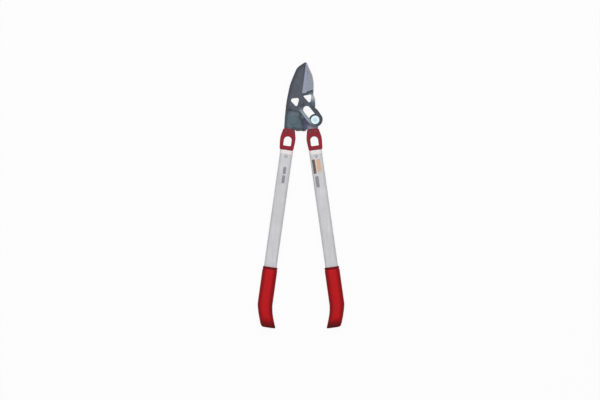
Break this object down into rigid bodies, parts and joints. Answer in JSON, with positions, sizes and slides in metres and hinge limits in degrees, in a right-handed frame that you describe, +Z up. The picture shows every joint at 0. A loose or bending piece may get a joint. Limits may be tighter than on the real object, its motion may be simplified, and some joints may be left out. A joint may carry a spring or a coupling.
{
  "type": "anvil lopper",
  "caption": "Long-handled anvil lopper: a blade driven by a pin in a slotted tail closes on a flat anvil when the oval-tube handles are brought together.",
  "frame": {"origin": "on the ground under the middle of the whole tool, lying flat", "axes": "+Y from the grips to the tip of the jaws, +X to the driven handle's side, +Z up from the ground"},
  "size_m": [0.2452, 0.75, 0.0348],
  "materials": {
    "blade_steel": "dark non-stick coating on carbon steel, bare ground bevel",
    "frame_steel": "satin grey coating on pressed steel",
    "lever_steel": "satin grey coating on forged steel",
    "anvil_alloy": "bead-blasted cast alloy",
    "fastener_steel": "turned steel",
    "dark_fastener": "black oxide on turned steel",
    "lacquered_steel": "dark red lacquer on steel",
    "zinc_plate": "bright zinc plate",
    "bush_bronze": "sintered bronze",
    "coupling_red": "moulded glass-filled nylon, fine texture",
    "tube_aluminium": "pale silver-white powder coat on extruded aluminium",
    "rivet_aluminium": "plain",
    "grip_red": "satin soft vinyl",
    "plug_black": "moulded"
  },
  "bodies": {
    "anvil_side": {"anvil_frame": "frame_steel", "anvil_shoe": "anvil_alloy", "anvil_screws": "fastener_steel", "main_bolt": "dark_fastener", "main_nut": "dark_fastener", "main_washers": "dark_fastener", "lever_pin": "dark_fastener", "lever_pin_washer": "dark_fastener", "left_coupling": "coupling_red", "left_coupling_rivets": "lacquered_steel", "left_tube": "tube_aluminium", "left_tube_rivet": "rivet_aluminium", "left_tube_plug": "plug_black", "left_grip": "grip_red"},
    "blade_side": {"blade": "blade_steel", "blade_bush": "bush_bronze"},
    "drive_side": {"lever": "lever_steel", "lever_bush": "bush_bronze", "drive_pin": "fastener_steel", "drive_washer": "zinc_plate", "drive_clip": "zinc_plate", "right_coupling": "coupling_red", "right_coupling_rivets": "lacquered_steel", "right_tube": "tube_aluminium", "right_tube_rivet": "rivet_aluminium", "right_tube_plug": "plug_black", "right_grip": "grip_red"},
    "roller": {"drive_roller": "fastener_steel"}
  },
  "joints": [
    {"name": "handle_swing", "type": "hinge", "parent": "anvil_side", "child": "drive_side", "pos_m": [0.00495, 0.22378, 0], "axis": [0, 0, 1], "range_deg": [0, 65]},
    {"name": "blade_swing", "type": "hinge", "parent": "anvil_side", "child": "blade_side", "pos_m": [0.002, 0.26, 0], "axis": [0, 0, 1], "range_deg": [0, 32.5]},
    {"name": "roller_spin", "type": "hinge", "parent": "drive_side", "child": "roller", "pos_m": [0.03976, 0.21337, 0], "axis": [0, 0, 1], "continuous": true}
  ],
  "couplings": [
    {"joint": "blade_swing", "follows": "handle_swing", "ratio": 0.5}
  ]
}
